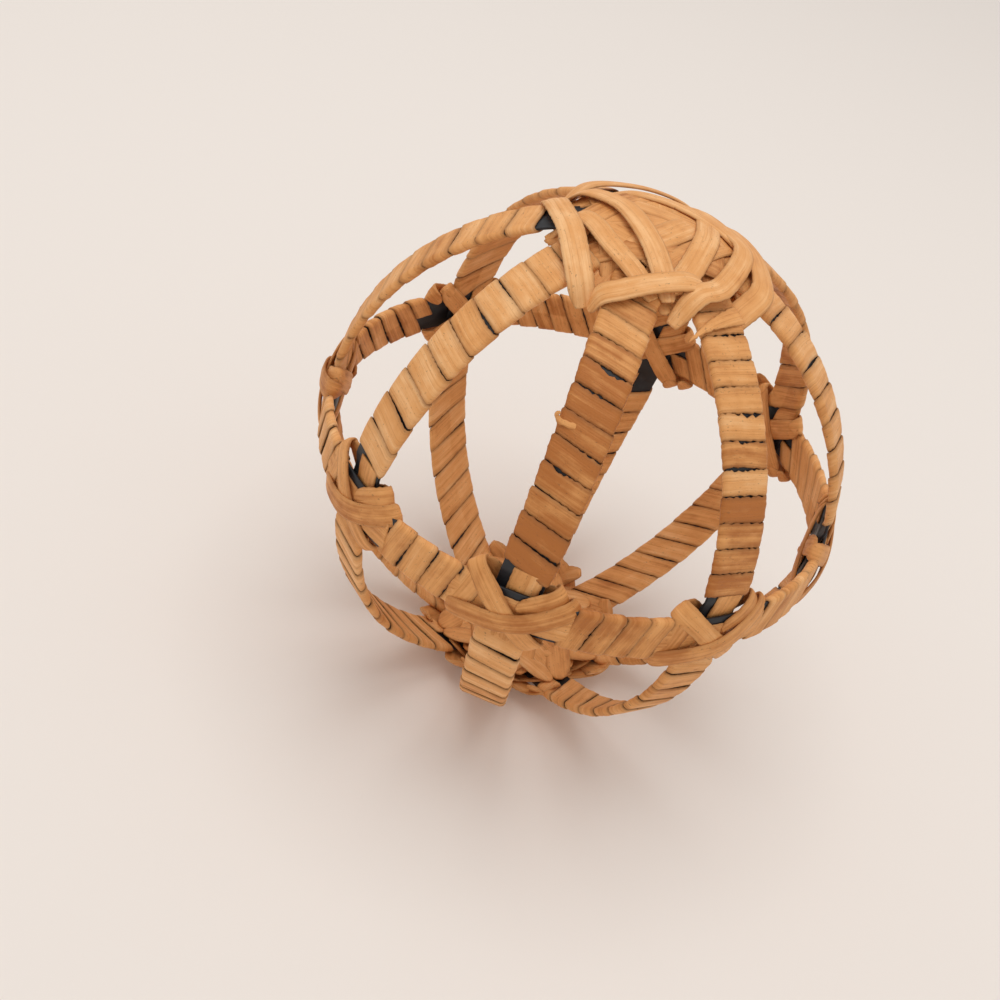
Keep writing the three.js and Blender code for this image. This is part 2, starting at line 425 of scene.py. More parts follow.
class Winding:
    """Cane wound round a stretch of a hoop."""

    def __init__(self, sizes, path, start, end, turns, seed, **looks):
        self.sizes = sizes
        self.path = path
        self.start = start
        self.end = end
        self.turns = turns
        self.seed = seed
        self.slant = looks.get("slant", -0.35)
        self.tone = looks.get("tone", 0.5)
        self.painted_light_rise = looks.get("painted_light_rise", 0.0)
        self.tone_spread = looks.get("tone_spread", 0.12)
        self.ragged = looks.get("ragged", 0.08) * MM
        self.ridge = looks.get("ridge", 0.05) * MM
        self.tilt = looks.get("tilt", 0.12) * MM
        self.uneven = looks.get("uneven", 0.035)
        self.edge_dirt = looks.get("edge_dirt", 0.6)
        self.gaps = looks.get("gaps", ())

    def advance(self, place):
        """How far along a turn the strip has come, by its place round the section."""
        edge = 0.27
        on_skin = np.clip((place - edge) / (1.0 - 2.0 * edge), 0.0, 1.0)
        behind = place - (1.0 - 2.0 * edge) * on_skin
        return self.slant * on_skin + (1.0 - self.slant) * behind / (2.0 * edge)

    def add_to(self, mesh, steps):
        s = self.sizes
        rows = self.turns * steps + 1
        turn = np.arange(rows) / steps
        whole = np.minimum(np.floor(turn), self.turns - 1)
        place = turn - whole
        middle = s.core_thickness / 2 + s.slack + s.cane / 2
        half_width = s.core_width / 2 + s.slack + s.cane / 2
        side, height, face_side, face_height, loop = round_section(half_width, middle, place)
        pitch = (self.end - self.start) / self.turns
        uneven = Waves(self.seed)
        wide = Waves(self.seed + 1)
        along = turn + self.uneven * uneven(turn * 0.9)
        centre = self.start + pitch * (whole + self.advance(place) + 0.5 + along - turn)
        metres_a_degree = math.radians(1.0) * (s.core_radius + middle)
        spread = 1.0 + 0.5 * self.uneven * wide(turn * 0.8)
        width = pitch * metres_a_degree * spread - s.turn_gap
        distance = turn * loop

        share = np.broadcast_to(OUTLINE, (rows, len(OUTLINE)))
        frayed = Waves(self.seed + 2)
        frayed_right = Waves(self.seed + 3)
        torn = np.where(
            share > 0,
            frayed(distance / (2.2 * MM))[:, None],
            frayed_right(distance / (2.2 * MM))[:, None],
        )
        across = share * width[:, None] / 2 + self.ragged * torn * np.abs(share) ** 8
        across = across - self.torn_back(turn)[:, None] * np.clip(share, 0.0, 1.0) ** 4
        crown = OUTLINE_HEIGHT * s.cane / 2
        relief = ridges(distance, share, self.seed + 4, self.ridge) * OUTLINE_ON_SKIN * (1 - share**8)
        lean = self.tilt * share + 0.05 * MM * Waves(self.seed + 5)(turn)[:, None]
        thick = crown + relief + lean

        angle = centre[:, None] + across / metres_a_degree
        frames = self.path.frames(angle)
        face = (
            frames.across * np.broadcast_to(face_side[:, None], angle.shape)[..., None]
            + frames.out * np.broadcast_to(face_height[:, None], angle.shape)[..., None]
        )
        body = frames.place(
            np.broadcast_to(side[:, None], angle.shape),
            np.broadcast_to(height[:, None], angle.shape),
        )
        grid = body + face * thick[..., None]

        rng = np.random.default_rng(self.seed + 6)
        tones = rng.normal(self.tone, self.tone_spread, self.turns + 1)
        tone = tones[np.clip(np.floor(turn).astype(int), 0, self.turns)]
        # Painted light: the tone rises along the winding, so the upper ribs that use it get paler towards the
        # top, where the light falls.
        tone = tone + self.painted_light_rise * turn / self.turns
        # Painted shade: each turn darkens towards both edges, standing in for the shadow lines between turns.
        worn = self.edge_dirt * np.abs(share) ** 6
        marks = strip_marks(distance, across, self.seed % 97, tone, worn)
        mesh.add(grid, marks)

    def torn_back(self, turn):
        """How far the strip's leading edge is torn back, which opens a dark gap."""
        back = np.zeros_like(turn)
        for at, length, depth in self.gaps:
            rough = 1.0 + 0.45 * Waves(self.seed + int(10 * at))(turn * 22.0)
            back += depth * MM * rough * np.exp(-(((turn - at) / length) ** 2))
        return np.clip(back, 0.0, None)


# ------------------------------------------------------------ loose strips


def curve_through(points, count):
    """Smooth rows through points, which may have any number of columns."""
    points = np.asarray(points, dtype=float)
    first = 2 * points[0] - points[1]
    last = 2 * points[-1] - points[-2]
    padded = np.concatenate([first[None], points, last[None]])
    spans = len(points) - 1
    t = np.linspace(0.0, spans, count)
    k = np.minimum(t.astype(int), spans - 1)
    u = (t - k)[:, None]
    a, b, c, d = padded[k], padded[k + 1], padded[k + 2], padded[k + 3]
    bend = (2 * a - 5 * b + 4 * c - d) * u**2 + (3 * b - a - 3 * c + d) * u**3
    return 0.5 * (2 * b + (c - a) * u + bend)


class Strip:
    """A free strip of cane along a route.

    Each row of the route has a point, the direction that the skin faces and the
    strip's width: seven numbers."""

    def __init__(self, sizes, route, seed, **looks):
        self.sizes = sizes
        self.route = np.asarray(route, dtype=float)
        self.seed = seed
        self.tone = looks.get("tone", 0.5)
        self.ridge = looks.get("ridge", 0.05) * MM
        self.ragged = looks.get("ragged", 0.05) * MM
        self.crown = looks.get("crown", 0.12) * MM
        self.thickness = looks.get("thickness", self.sizes.cane)
        self.worn = looks.get("worn", 0.35)
        self.rolled = looks.get("rolled", False)
        self.taper = looks.get("taper", 0.0)

    def facing_along(self, along, facing):
        """Carries the facing of the middle row to both ends without a twist."""
        middle = len(along) // 2
        carried = np.array(facing)
        for rows in (range(middle, len(along)), range(middle, -1, -1)):
            face = facing[middle]
            for row in rows:
                face = unit(face - along[row] * np.dot(face, along[row]))
                carried[row] = face
        return carried

    def add_to(self, mesh, rows):
        dense = curve_through(self.route, rows)
        point, facing = dense[:, :3], dense[:, 3:6]
        width = dense[:, 6] * (1.0 - self.taper * np.linspace(-1.0, 1.0, rows) ** 8)
        along = unit(np.gradient(point, axis=0))
        if self.rolled:
            facing = self.facing_along(along, facing)
        side = unit(np.cross(along, facing))
        out = np.cross(side, along)
        steps = np.linalg.norm(np.diff(point, axis=0), axis=1)
        distance = np.concatenate([[0.0], np.cumsum(steps)])
        share = np.broadcast_to(OUTLINE, (rows, len(OUTLINE)))
        ragged = np.where(
            share > 0,
            Waves(self.seed + 2)(distance / (2.4 * MM))[:, None],
            Waves(self.seed + 3)(distance / (2.4 * MM))[:, None],
        )
        across = share * width[:, None] / 2 + self.ragged * ragged * np.abs(share) ** 8
        relief = ridges(distance, share, self.seed + 4, self.ridge) * (1 - share**8)
        thick = OUTLINE_HEIGHT * self.thickness / 2
        thick = thick + (relief + self.crown * (1 - share**2)) * OUTLINE_ON_SKIN
        grid = point[:, None] + side[:, None] * across[..., None] + out[:, None] * thick[..., None]
        # Painted shade: the strip darkens towards its edges, standing in for the shadow where it meets its
        # neighbours.
        worn = self.worn * np.abs(share) ** 7
        mesh.add(grid, strip_marks(distance, across, self.seed % 97, self.tone, worn))


# -------------------------------------------------------------------- pieces


def add_piece(context, name, mesh, material, slot, *nodes):
    """Makes the piece, sets its material and lets it stand for CAD nodes."""
    piece = bpy.data.objects.new(name, mesh)
    context.scene.collection.objects.link(piece)
    piece.data.materials.append(material)
    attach(piece, BODY)
    if nodes:
        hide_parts(*nodes)
    return piece


# Turns and looks of the wound ribs above the level hoop, rib by rib. A gap is where a turn's edge is torn back:
# the turn, its length in turns, its depth in millimetres. The rise on ribs 2 and 3 is painted light: their cane
# gets paler towards the top, where the light falls.
UPPER_LOOKS = [
    dict(turns=10, slant=-0.25, tone=0.62, tone_spread=0.07, ridge=0.03, ragged=0.06, tilt=0.14),
    dict(
        turns=12, slant=-0.45, tone=-0.16, painted_light_rise=0.6, tone_spread=0.12,
        ridge=0.09, ragged=0.12, tilt=0.20,
        gaps=((3.45, 0.08, 0.7), (7.55, 0.10, 1.2)),
    ),
    dict(
        turns=12, slant=-0.10, tone=0.20, painted_light_rise=0.35, tone_spread=0.13,
        ridge=0.07, ragged=0.18, tilt=0.08,
        gaps=((4.5, 0.16, 0.5), (5.45, 0.10, 0.8), (6.55, 0.14, 0.6)),
    ),
    dict(turns=10, slant=-0.30, tone=0.55, tone_spread=0.07, ridge=0.05, ragged=0.08, tilt=0.14),
    dict(turns=9, slant=-0.30, tone=0.36, tone_spread=0.09, ridge=0.05, ragged=0.08, tilt=0.14),
    dict(turns=9, slant=-0.30, tone=0.26, tone_spread=0.09, ridge=0.05, ragged=0.08, tilt=0.14),
    dict(turns=9, slant=-0.30, tone=0.45, tone_spread=0.08, ridge=0.05, ragged=0.08, tilt=0.14),
    dict(turns=10, slant=-0.30, tone=0.50, tone_spread=0.08, ridge=0.05, ragged=0.08, tilt=0.14),
]
# Where the wound stretches start and end, in degrees from the level hoop, and how far
# from the middle of a crossing the level hoop's winding stops.
UPPER_SPAN = (7.8, 69.5)
LOWER_SPAN = (-71.5, -8.0)
LEVEL_GAP = 9.4
LEVEL_TONES = [0.48, 0.24, 0.40, 0.50, 0.45, 0.45, 0.45, 0.50]


class CANEBALL_OT_hoops(Operator):
    """Adds the black strips of the four upright hoops and the level hoop"""

    bl_idname = "cane_ball.hoops"
    bl_label = "Black hoops"

    def execute(self, context):
        sizes = sizes_of(context)
        material = black_strip_material(context)
        for number, hoop in enumerate(HOOPS, 1):
            mesh = flat_hoop(sizes, UprightPath(sizes, hoop), "black_hoop_%d" % number)
            add_piece(context, mesh.name, mesh, material, "black_strip", "hoop_core_%d" % number)
        mesh = flat_hoop(sizes, LevelPath(sizes), "black_level_hoop")
        add_piece(context, mesh.name, mesh, material, "black_strip", "level_hoop_core")
        return {"FINISHED"}


def flat_hoop(sizes, path, name):
    """A closed hoop of flat strip with eased edges."""
    rows = 360
    angle = np.linspace(0.0, 360.0, rows, endpoint=False)
    ease = 0.12 * MM
    w = sizes.core_width / 2
    t = sizes.core_thickness / 2
    side = np.array([-w, -w, -w + ease, 0.0, w - ease, w, w, w - ease, 0.0, -w + ease])
    height = np.array([-t + ease, t - ease, t, t, t, t - ease, -t + ease, -t, -t, -t])
    columns = len(side)
    frames = path.frames(np.repeat(angle[:, None], columns, axis=1))
    grid = frames.place(np.broadcast_to(side, (rows, columns)), np.broadcast_to(height, (rows, columns)))
    distance = np.radians(angle) * sizes.core_radius
    mesh = StripMesh()
    mesh.add(grid, strip_marks(distance, np.broadcast_to(side, (rows, columns)), 1.0, 0.5), ring=True)
    return mesh.build(name)


class CANEBALL_OT_upper_windings(Operator):
    """Winds cane round the eight ribs above the level hoop"""

    bl_idname = "cane_ball.upper_windings"
    bl_label = "Upper windings"

    def execute(self, context):
        sizes = sizes_of(context)
        material = cane_material(context)
        steps = context.scene.cane_ball_stage.turns
        for rib, looks in zip(ribs_of(sizes), UPPER_LOOKS):
            wind_rib(context, sizes, rib, "upper", UPPER_SPAN, looks, steps, material)
        return {"FINISHED"}


# Torn ends that stand off the front ribs: the rib, and rows of latitude, place to
# the side, height over the black strip's middle, and width, in millimetres.
TORN_ENDS = [
    (
        3,
        [
            (65.5, 5.6, 1.1, 4.6), (64.8, 1.5, 1.5, 3.8), (63.6, -3.6, 1.7, 2.2),
            (62.0, -8.0, 1.5, 0.9), (61.0, -10.2, 1.2, 0.3),
        ],
    ),
    (
        2,
        [
            (39.6, -2.0, 0.9, 1.6), (39.4, -3.8, 1.2, 1.4), (39.6, -5.4, 1.4, 1.2),
            (40.3, -6.5, 1.7, 1.0), (41.0, -6.0, 2.3, 0.6),
        ],
    ),
]


def torn_ends_of(rib, sizes, mesh):
    for number, rows in TORN_ENDS:
        if number != rib.number:
            continue
        route = []
        for latitude, side, height, width in rows:
            frames = rib.path.frames(np.array(rib.angle(latitude)))
            point = frames.place(side * MM, height * MM)
            route.append([*point, *frames.out, width * MM])
        Strip(sizes, route, 700 + number, tone=0.5, thickness=0.35 * MM, ragged=0.1).add_to(mesh, 40)


class CANEBALL_OT_lower_windings(Operator):
    """Winds cane round the eight ribs below the level hoop"""

    bl_idname = "cane_ball.lower_windings"
    bl_label = "Lower windings"

    def execute(self, context):
        sizes = sizes_of(context)
        material = cane_material(context)
        steps = context.scene.cane_ball_stage.turns
        looks = dict(turns=10, slant=-0.3, tone=0.52, tone_spread=0.10, ridge=0.06, ragged=0.08)
        for rib in ribs_of(sizes):
            wind_rib(context, sizes, rib, "lower", LOWER_SPAN, looks, steps, material)
        return {"FINISHED"}


def wind_rib(context, sizes, rib, half, latitudes, looks, steps, material):
    looks = dict(looks)
    turns = looks.pop("turns")
    ends = sorted(rib.angle(latitude) for latitude in latitudes)
    name = "%s_cane_%d" % (half, rib.number)
    mesh = StripMesh()
    seed = 100 * rib.number + (0 if half == "upper" else 50)
    Winding(sizes, rib.path, ends[0], ends[1], turns, seed, **looks).add_to(mesh, steps)
    if half == "upper":
        torn_ends_of(rib, sizes, mesh)
    node = "%s_winding_%d" % (half, rib.number)
    add_piece(context, name, mesh.build(name), material, "cane", node)


class CANEBALL_OT_level_windings(Operator):
    """Winds cane round the level hoop between the ribs"""

    bl_idname = "cane_ball.level_windings"
    bl_label = "Level windings"

    def execute(self, context):
        sizes = sizes_of(context)
        material = cane_material(context)
        steps = context.scene.cane_ball_stage.turns
        ribs = ribs_of(sizes)
        for rib, following in zip(ribs, ribs[1:] + ribs[:1]):
            start = rib.azimuth + LEVEL_GAP
            span = (following.azimuth - rib.azimuth) % 360.0 - 2.0 * LEVEL_GAP
            turns = max(3, round(span * 1.09 / 5.6))
            name = "level_cane_%d" % rib.number
            mesh = StripMesh()
            Winding(
                sizes, LevelPath(sizes), start, start + span, turns, 100 * rib.number + 70,
                slant=-0.5, tone=LEVEL_TONES[rib.number - 1], tone_spread=0.1,
                ridge=0.05, ragged=0.09, tilt=0.18,
            ).add_to(mesh, steps)
            node = "level_winding_%d" % rib.number
            add_piece(context, name, mesh.build(name), material, "cane", node)
        return {"FINISHED"}


# Strips of a lashing, seen from outside with the level hoop across and the rib
# upright: points as across, up and height over the hoops' plain path, the strip's
# width, all in millimetres, the side that its skin faces (1 out, -1 in), its tone.
LASHING = [
    # wrapped round the notches at the upper right and the lower left
    (
        [
            (1.5, 1.5, 1.3), (5.2, 4.8, 1.5), (8.2, 7.4, 0.9), (9.3, 8.4, -0.6),
            (7.6, 6.9, -2.2),
        ],
        4.8, 1, 0.30,
    ),
    (
        [
            (-1.5, -1.5, 1.3), (-4.8, -4.6, 1.4), (-7.4, -6.9, 0.8), (-8.6, -8.0, -0.6),
            (-7, -6.5, -2.2),
        ],
        4.2, 1, 0.35,
    ),
    # across both hoops behind
    (
        [
            (-9.4, 8.2, -0.8), (-5.5, 4.8, -2.5), (0, 0, -2.9), (5.5, -4.8, -2.5),
            (9.0, -8.0, -0.8),
        ],
        5.4, -1, 0.35,
    ),
    (
        [
            (9.4, 8.2, -0.8), (5.5, 4.8, -2.7), (0, 0, -3.5), (-5.5, -4.8, -2.7),
            (-9.0, -8.0, -0.8),
        ],
        5.4, -1, 0.4,
    ),
    # from the upper left down to the lower right
    (
        [
            (-8.4, 5.6, -2.2), (-10.4, 7.2, -0.8), (-9.6, 6.6, 0.9), (-5.2, 3.2, 1.95), (-1.0, -0.5, 2.15),
            (3.4, -4.2, 1.8), (7.0, -7.4, 1.0), (8.4, -8.6, -0.5), (6.8, -7.2, -2.2),
        ],
        5.2, 1, 0.42,
    ),
    # the topmost strip, which hangs in a curve between both sides
    (
        [
            (-10.4, -4.6, -2.2), (-12.9, -6.6, -0.6), (-12.1, -6.3, 1.2), (-6.4, -4.2, 2.45), (-0.4, -2.5, 2.9),
            (5.4, 0.4, 2.5), (11.0, 4.6, 1.3), (13.0, 6.6, -0.5), (11.0, 5.0, -2.2),
        ],
        5.1, 1, 0.26,
    ),
]


class CANEBALL_OT_lashings(Operator):
    """Lashes the eight crossings with cane"""

    bl_idname = "cane_ball.lashings"
    bl_label = "Lashings"

    def execute(self, context):
        sizes = sizes_of(context)
        material = cane_material(context)
        for rib in ribs_of(sizes):
            name = "lashing_cane_%d" % rib.number
            mesh = StripMesh()
            seed = 1000 + 20 * rib.number
            at = crossing_place(sizes, rib)
            for number, (points, width, side, tone) in enumerate(LASHING):
                loose = Waves(seed + number)(np.arange(len(points)) * 0.4)
                route = [at(*point, side, width + 0.25 * w) for point, w in zip(points, loose)]
                strip = Strip(sizes, route, seed + number, tone=tone, crown=0.2, rolled=True, taper=0.7)
                strip.add_to(mesh, 70)
            add_lengthwise_strips(sizes, rib, mesh, seed + 10)
            node = "lashing_%d" % rib.number
            add_piece(context, name, mesh.build(name), material, "cane", node)
        return {"FINISHED"}


def crossing_place(sizes, rib):
    """Gives a function from places on a crossing, as listed above, to route rows."""
    rise = math.degrees(sizes.level_rise / sizes.core_radius)
    base = rib.path.frames(np.array(rib.angle(rise)))
    radius = sizes.core_radius

    def at(x, y, height, side, width):
        drop = (x * x + y * y) * MM * MM / (2.0 * radius)
        lift = height * MM - sizes.crossing_dip - drop
        point = base.point + base.across * x * MM + base.along * y * MM + base.out * lift
        return [*point, *(side * base.out), width * MM]

    return at


def add_lengthwise_strips(sizes, rib, mesh, seed):
    """The strip ends that lie along both hoops under a lashing."""
    path = LevelPath(sizes)
    angle = rib.azimuth + np.linspace(-12.5, 12.5, 9)
    frames = path.frames(angle)
    middle = frames.place(np.full(9, 0.3 * MM), np.full(9, sizes.core_thickness / 2 + 0.32 * MM))
    route = np.concatenate([middle, frames.out, np.full((9, 1), 7.8 * MM)], axis=1)
    Strip(sizes, route, seed, tone=0.42, ridge=0.09, crown=0.05).add_to(mesh, 60)
    angle = np.linspace(rib.angle(0.0) - 10.5, rib.angle(0.0) + 10.5, 9)
    frames = rib.path.frames(angle)
    shift = (-1.0 if rib.far else 1.0) * 0.9 * MM
    middle = frames.place(np.full(9, shift), np.full(9, sizes.core_thickness / 2 + 0.32 * MM))
    route = np.concatenate([middle, frames.out, np.full((9, 1), 7.0 * MM)], axis=1)
    Strip(sizes, route, seed + 3, tone=0.42, ridge=0.07, crown=0.05).add_to(mesh, 60)


# Strips of the top star, seen from above with the front towards negative y:
# points as right, away and height over the ribs' skin, the strip's width, all in
# millimetres from the pole, and its tone.
TOP_STRIPS = [
    # under the others
    (
        [
            (-9, -22, -2.5), (-4.5, -13, 0.3), (1.4, -5.2, 0.8), (6.4, 4.2, 0.8),
            (11.5, 20.5, -1),
        ],
        7.4, 0.55,
    ),
    ([(-22, -9.5, -2.5), (-12, -4.5, 0.4), (0, 0.6, 0.5), (12, 4.5, 0.5), (22, 9.5, -2)], 7.0, 0.5),
    ([(-4, 22, -2), (-2.5, 12, 0.5), (-0.5, 1, 0.4), (2, -10, 0.4), (8, -22.5, -2.5)], 7.0, 0.5),
    ([(-22, 9, -2.5), (-11, 6.5, 0.5), (2, 5, 0.7), (14, 3, 0.7), (24, -9, -2)], 6.4, 0.5),
    # the inner ones at the front
    (
        [
            (-22, -9.2, -3), (-18, -4.8, 0.6), (-14.2, -6.6, 1.4), (-8.4, -13.7, 1.5),
            (-1.5, -19.9, 1.4), (4, -23.6, 0),
        ],
        5.0, 0.6,
    ),
    (
        [
            (11, 21.5, -3), (9.4, 16, 0.8), (10.4, 5, 1.6), (10.6, -2, 1.7), (9.0, -14.4, 1.5),
            (6.8, -20.4, 0.8),
        ],
        6.0, 0.62,
    ),
    (
        [
            (-23, 9.5, -3), (-19, 8.2, 0.8), (-15.2, 6.0, 1.8), (-8.2, 0.2, 2.3),
            (-1.2, -9.6, 2.3), (3.6, -17.2, 1.6), (7, -22.6, 0),
        ],
        5.6, 0.7,
    ),
    # round the back and the right
    (
        [
            (-16, 16, -2), (-8, 13.5, 1.0), (4, 12, 1.5), (16, 7.5, 1.5), (24.5, 0.5, 0.5),
            (24, -9.5, -2),
        ],
        5.2, 0.6,
    ),
    (
        [
            (0, 23.5, -2), (7, 17.5, 1.0), (15.5, 9.5, 1.6), (19.5, 2.5, 1.9),
            (16.9, -13.6, 2.0), (12.4, -20.0, 2.1), (9.2, -24.5, -2.6),
        ],
        5.4, 0.66,
    ),
    # over the ribs' ends
    (
        [
            (-24.5, 8, -3.4), (-24.2, 4.2, 0.4), (-20.6, -5, 1.5), (-17.3, -12.6, 2.0),
            (-12.2, -23.6, 0.9), (-9.2, -26.2, -3.6),
        ],
        6.0, 0.72,
    ),
    (
        [
            (-8.2, -26.0, -3.6), (-6.6, -26.4, 0.2), (-3.2, -25.6, 1.5), (2.4, -22.4, 2.2),
            (9.0, -18.2, 2.3), (12.6, -16.2, 1.6),
        ],
        5.4, 0.66,
    ),
    (
        [
            (11, 23.5, -3.2), (15.5, 18.5, 0.6), (21, 10, 1.4), (24.6, 0.6, 1.6),
            (25.6, -6.6, 1.5), (22.6, -13.6, -0.4), (20, -17, -3.4),
        ],
        6.2, 0.6,
    ),
    (
        [
            (-22.6, 11.5, -3.2), (-18.5, 16.5, 0.8), (-9.5, 22, 1.2), (-1, 25, 0.9),
            (5.5, 25.5, -0.2), (9.5, 23.5, -3.2),
        ],
        5.8, 0.58,
    ),
]


class CANEBALL_OT_top_star(Operator):
    """Weaves the cane star over the top"""

    bl_idname = "cane_ball.top_star"
    bl_label = "Top star"

    def execute(self, context):
        sizes = sizes_of(context)
        mesh = StripMesh()
        add_chords(sizes, mesh, 1.0, 3500)
        for number, (points, width, tone) in enumerate(TOP_STRIPS):
            route = star_route(sizes, points, width, 1.0)
            looks = dict(tone=tone, crown=0.22, rolled=True, taper=0.5)
            strip = Strip(sizes, route, 3000 + 10 * number, **looks)
            strip.add_to(mesh, 110)
        mesh = mesh.build("top_star_cane")
        add_piece(context, mesh.name, mesh, cane_material(context), "pale_cane", "top_star")
        return {"FINISHED"}


# Layers of strips that pass the pole on every side: how far from it, half their
# length, their heights over the ribs' skin in the middle and at the ends, and the
# side that the skin faces.
CHORDS = [
    (4.0, 17.0, 0.1, -2.6, 1.0),
    (11.0, 19.5, 0.5, -2.6, 1.0),
    (3.0, 20.0, -5.9, -2.7, -1.0),
    (10.0, 21.0, -5.2, -2.7, -1.0),
]


def add_chords(sizes, mesh, pole, seed):
    """The lowest layers of a star, over the ribs' ends and inside them."""
    for number in range(RIB_COUNT):
        for off, reach, middle, end, side in CHORDS:
            aside = math.radians(360.0 / RIB_COUNT * number + 1.6 * off)
            outward = np.array([math.cos(aside), math.sin(aside)])
            along = np.array([-outward[1], outward[0]])
            rows = []
            for share in (-1.0, -0.6, 0.0, 0.6, 1.0):
                x, y = outward * off + along * reach * share
                height = middle + (end - middle) * smooth_step((abs(share) - 0.5) / 0.5)
                rows.append((x, y, height + 0.12 * (number % 4)))
            route = star_route(sizes, rows, 7.0, pole, side)
            tone = 0.42 + 0.16 * math.sin(2.0 * number + off)
            strip = Strip(sizes, route, seed + 3 * number + int(off), tone=tone, crown=0.1, taper=0.75)
            strip.add_to(mesh, 40)


def star_route(sizes, points, width, pole, side=1.0):
    """Route over a pole from points seen from above, with heights over the ribs' skin."""
    rows = []
    skin = sizes.core_radius + 0.95 * MM
    for x, y, height in points:
        radius = skin * sizes.pole_stretch + height * MM
        flat = math.hypot(x, y) * MM
        z = pole * math.sqrt(max(radius**2 - flat**2, 0.0))
        direction = unit(np.array([x * MM, y * MM, z]))
        rows.append([*(direction * radius + sizes.centre), *(side * direction), width * MM])
    return rows


class CANEBALL_OT_bottom_star(Operator):
    """Weaves the cane star under the ball"""

    bl_idname = "cane_ball.bottom_star"
    bl_label = "Bottom star"

    def execute(self, context):
        sizes = sizes_of(context)
        mesh = StripMesh()
        add_chords(sizes, mesh, -1.0, 4500)
        ribs = ribs_of(sizes)
        for number in range(RIB_COUNT):
            first = ribs[number].azimuth + 22.0
            span = 150.0
            rows = []
            for share, polar, height in (
                (0.0, 27.0, -3.4), (0.08, 23.0, 0.2), (0.3, 13.0, 1.0), (0.5, 9.0, 1.2),
                (0.7, 13.0, 1.0), (0.92, 23.0, 0.2), (1.0, 27.0, -3.4),
            ):
                a = math.radians(first + span * share)
                reach = (sizes.core_radius + height * MM) * math.sin(math.radians(polar)) / MM
                layer = height + (0.5 if number % 2 else 0.0)
                rows.append((reach * math.cos(a), reach * math.sin(a), layer))
            route = star_route(sizes, rows, 6.0, -1.0)
            looks = dict(tone=0.5, crown=0.15, rolled=True, taper=0.6)
            strip = Strip(sizes, route, 4000 + 10 * number, **looks)
            strip.add_to(mesh, 80)
        mesh = mesh.build("bottom_star_cane")
        press_flat(mesh)
        add_piece(context, mesh.name, mesh, cane_material(context), "cane", "bottom_star")
        return {"FINISHED"}


def press_flat(mesh):
    """Presses what hangs below the floor up onto it."""
    for vertex in mesh.vertices:
        vertex.co.z = max(vertex.co.z, 0.0)


# ----------------------------------------------------------------- materials


class Nodes:
    """Adds nodes to a material's tree.

    An input is given by its name, or as _ and its number where names repeat."""

    def __init__(self, tree):
        self.tree = tree

    def add(self, kind, settings=None, **inputs):
        node = self.tree.nodes.new(kind)
        for name, value in (settings or {}).items():
            setattr(node, name, value)
        for name, value in inputs.items():
            numbered = name[1:].isdigit()
            socket = node.inputs[int(name[1:]) if numbered else name.replace("_", " ")]
            if isinstance(value, Value):
                self.tree.links.new(value.socket, socket)
            else:
                socket.default_value = value
        return node

    def value(self, node, output=0):
        return Value(self, node.outputs[output])


class Value:
    """A socket that can be reckoned with in Python expressions."""

    def __init__(self, nodes, socket):
        self.nodes = nodes
        self.socket = socket

    def maths(self, operation, *others):
        inputs = {"_%d" % i: v for i, v in enumerate((self, *others))}
        return self.nodes.value(self.nodes.add("ShaderNodeMath", {"operation": operation}, **inputs))

    def __add__(self, other):
        return self.maths("ADD", other)

    __radd__ = __add__

    def __mul__(self, other):
        return self.maths("MULTIPLY", other)

    __rmul__ = __mul__

    def __sub__(self, other):
        return self.maths("SUBTRACT", other)

    def __rsub__(self, other):
        return (self * -1.0) + other

    def clamped(self):
        return self.maths("MAXIMUM", 0.0).maths("MINIMUM", 1.0)

    def between(self, low, high):
        """0 below low, 1 above high and smooth in between."""
        node = self.nodes.add(
            "ShaderNodeMapRange",
            {"interpolation_type": "SMOOTHSTEP"},
            Value=self, From_Min=low, From_Max=high,
        )
        return self.nodes.value(node)


def mixed(nodes, share, first, second):
    """A colour between two, each a Value or plain red, green and blue."""
    colours = [c if isinstance(c, Value) else (*c, 1.0) for c in (first, second)]
    node = nodes.add("ShaderNodeMix", {"data_type": "RGBA"}, _0=share, _6=colours[0], _7=colours[1])
    return nodes.value(node, 2)


def new_material(name):
    old = bpy.data.materials.get(name)
    if old:
        return old, None
    material = bpy.data.materials.new(name)
    material.use_nodes = True
    return material, Nodes(material.node_tree)


